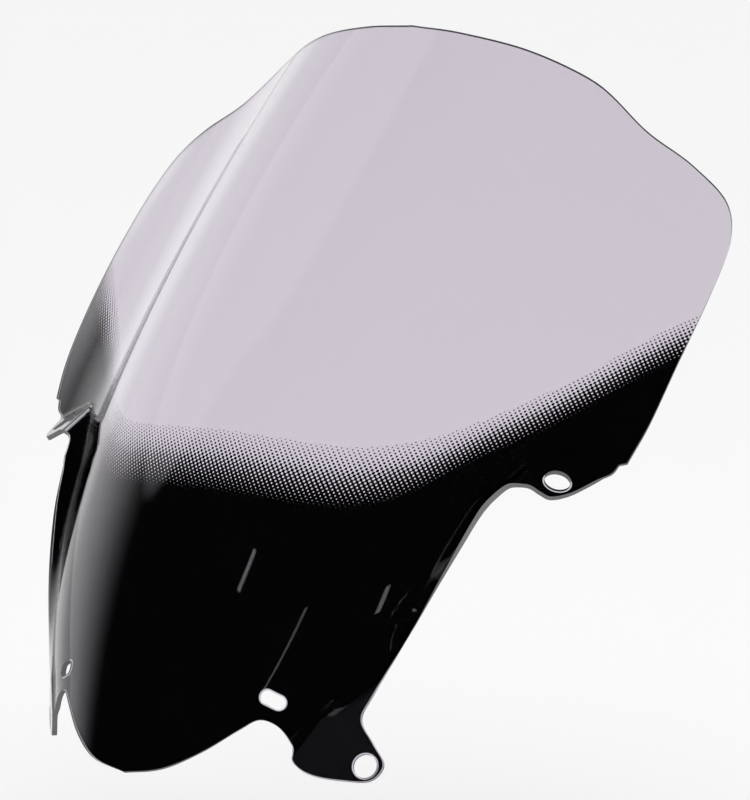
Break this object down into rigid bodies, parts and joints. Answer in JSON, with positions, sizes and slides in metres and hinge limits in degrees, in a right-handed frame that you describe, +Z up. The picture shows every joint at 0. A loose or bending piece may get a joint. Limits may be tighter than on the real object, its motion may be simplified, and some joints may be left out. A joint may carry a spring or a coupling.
{
  "type": "motorcycle windshield screen",
  "caption": "Formed tinted motorcycle windscreen with a black printed lower half, folded side flanges, drilled fixing tabs and ears, and angled slots.",
  "frame": {"origin": "midway between the two lower ear holes, level with their centres on the outer face", "axes": "+X across the machine, square to the screen's mirror plane at X = 0, -Y towards the front of the machine, +Z up"},
  "size_m": [0.4332, 0.3199, 0.4105],
  "materials": {
    "tinted_acrylic": "clear light grey tint, polished faces, frosted cut edge",
    "black_print": "opaque black print seen through the sheet"
  },
  "bodies": {
    "root": {"screen_sheet": "tinted_acrylic", "mask_print": "black_print"}
  },
  "joints": []
}
